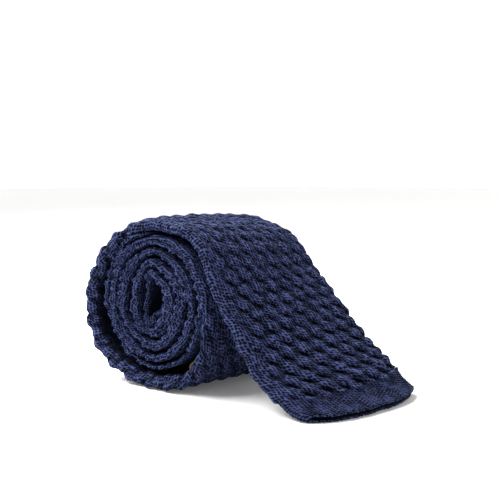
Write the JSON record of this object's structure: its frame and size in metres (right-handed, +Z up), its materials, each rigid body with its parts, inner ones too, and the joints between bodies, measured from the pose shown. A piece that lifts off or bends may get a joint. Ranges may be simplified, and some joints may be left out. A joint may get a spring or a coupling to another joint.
{
  "type": "rolled knit necktie",
  "caption": "Bobble-knit necktie with a square end, folded in half and rolled up, its wide blade lying out of the roll.",
  "frame": {"origin": "middle of the underside of the whole tie, on the surface it lies on", "axes": "+X along the blade towards the wide end, +Y across the tie away from the face of the roll that the blade is seen beside, +Z up"},
  "size_m": [0.1328, 0.0662, 0.0699],
  "materials": {
    "plain_knit": "matt navy yarn in a fine plain knit",
    "bobble_knit": "matt navy yarn knitted in half-drop rows of raised bobbles",
    "rolled_knit": "matt navy knit pressed in the roll, with plain folded edges",
    "label_cloth": "plain grey woven ribbon with a slight sheen"
  },
  "bodies": {
    "root": {"wide_hem": "plain_knit", "wide_blade": "bobble_knit", "neck": "rolled_knit", "narrow_blade": "rolled_knit", "narrow_hem": "plain_knit", "keeper_label": "label_cloth"}
  },
  "joints": []
}
